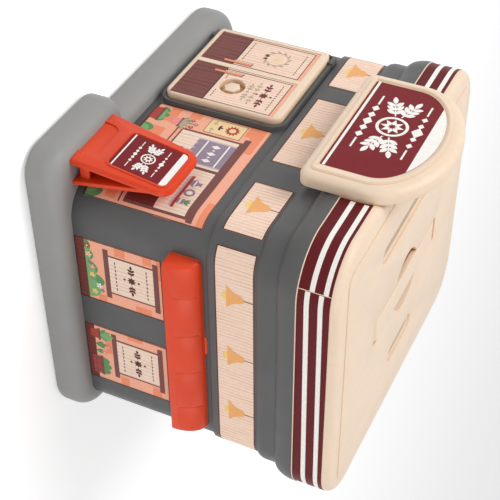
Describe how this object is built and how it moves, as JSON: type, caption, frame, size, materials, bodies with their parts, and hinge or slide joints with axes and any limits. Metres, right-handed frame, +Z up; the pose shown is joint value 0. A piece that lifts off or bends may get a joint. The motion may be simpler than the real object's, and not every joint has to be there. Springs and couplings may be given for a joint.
{
  "type": "coin bank",
  "caption": "Building-shaped coin bank: grey body on a stepped plinth, cream roof with note slot, coin slot and pull-up handle, and a hinged front door with a turning latch.",
  "frame": {"origin": "centre of the bounding box's underside, on the ground under the feet", "axes": "+Z up towards the roof, -Y out of the front with the door and the sign board, +X towards the awning side"},
  "size_m": [0.2012, 0.1838, 0.1857],
  "materials": {
    "pale_grey": "fine satin moulded plastic, light grey",
    "charcoal": "satin moulded plastic, dark grey",
    "cream": "satin moulded plastic, warm cream",
    "orange": "satin moulded plastic, orange-red",
    "rubber": "soft black",
    "steel": "zinc-plated",
    "brick_print": "printed paper-film label, brick and window design",
    "plank_print": "printed paper-film label, pale planks",
    "burgundy_print": "printed paper-film label, burgundy and white"
  },
  "bodies": {
    "bank": {"base_plinth": "pale_grey", "bottom_cover": "pale_grey", "rubber_feet": "rubber", "bottom_screws": "steel", "body_shell": "charcoal", "body_screws": "steel", "roof_cap": "cream", "roof_screws": "steel", "sign_board": "cream", "sign_screws": "steel", "awning": "orange", "awning_screws": "steel", "easel_front_board": "orange", "easel_back_board": "orange", "front_window_label": "brick_print", "side_window_labels": "brick_print", "frieze_labels": "plank_print", "stripe_labels": "burgundy_print", "sign_label": "burgundy_print", "easel_label": "burgundy_print"},
    "door": {"door": "cream", "hinge_pins": "steel", "door_labels": "plank_print"},
    "knob": {"door_knob": "cream", "latch_cam": "charcoal", "cam_screw": "steel"},
    "handle": {"carry_handle": "cream"}
  },
  "joints": [
    {"name": "door_hinge", "type": "hinge", "parent": "bank", "child": "door", "pos_m": [-0.0674, -0.07015, 0.0579], "axis": [0, 0, -1], "range_deg": [0, 95]},
    {"name": "latch_turn", "type": "hinge", "parent": "door", "child": "knob", "pos_m": [-0.0184, -0.07015, 0.0552], "axis": [0, 1, 0], "range_deg": [0, 90]},
    {"name": "handle_lift", "type": "slide", "parent": "bank", "child": "handle", "axis": [0, 0, 1], "range_m": [0, 0.012]}
  ]
}
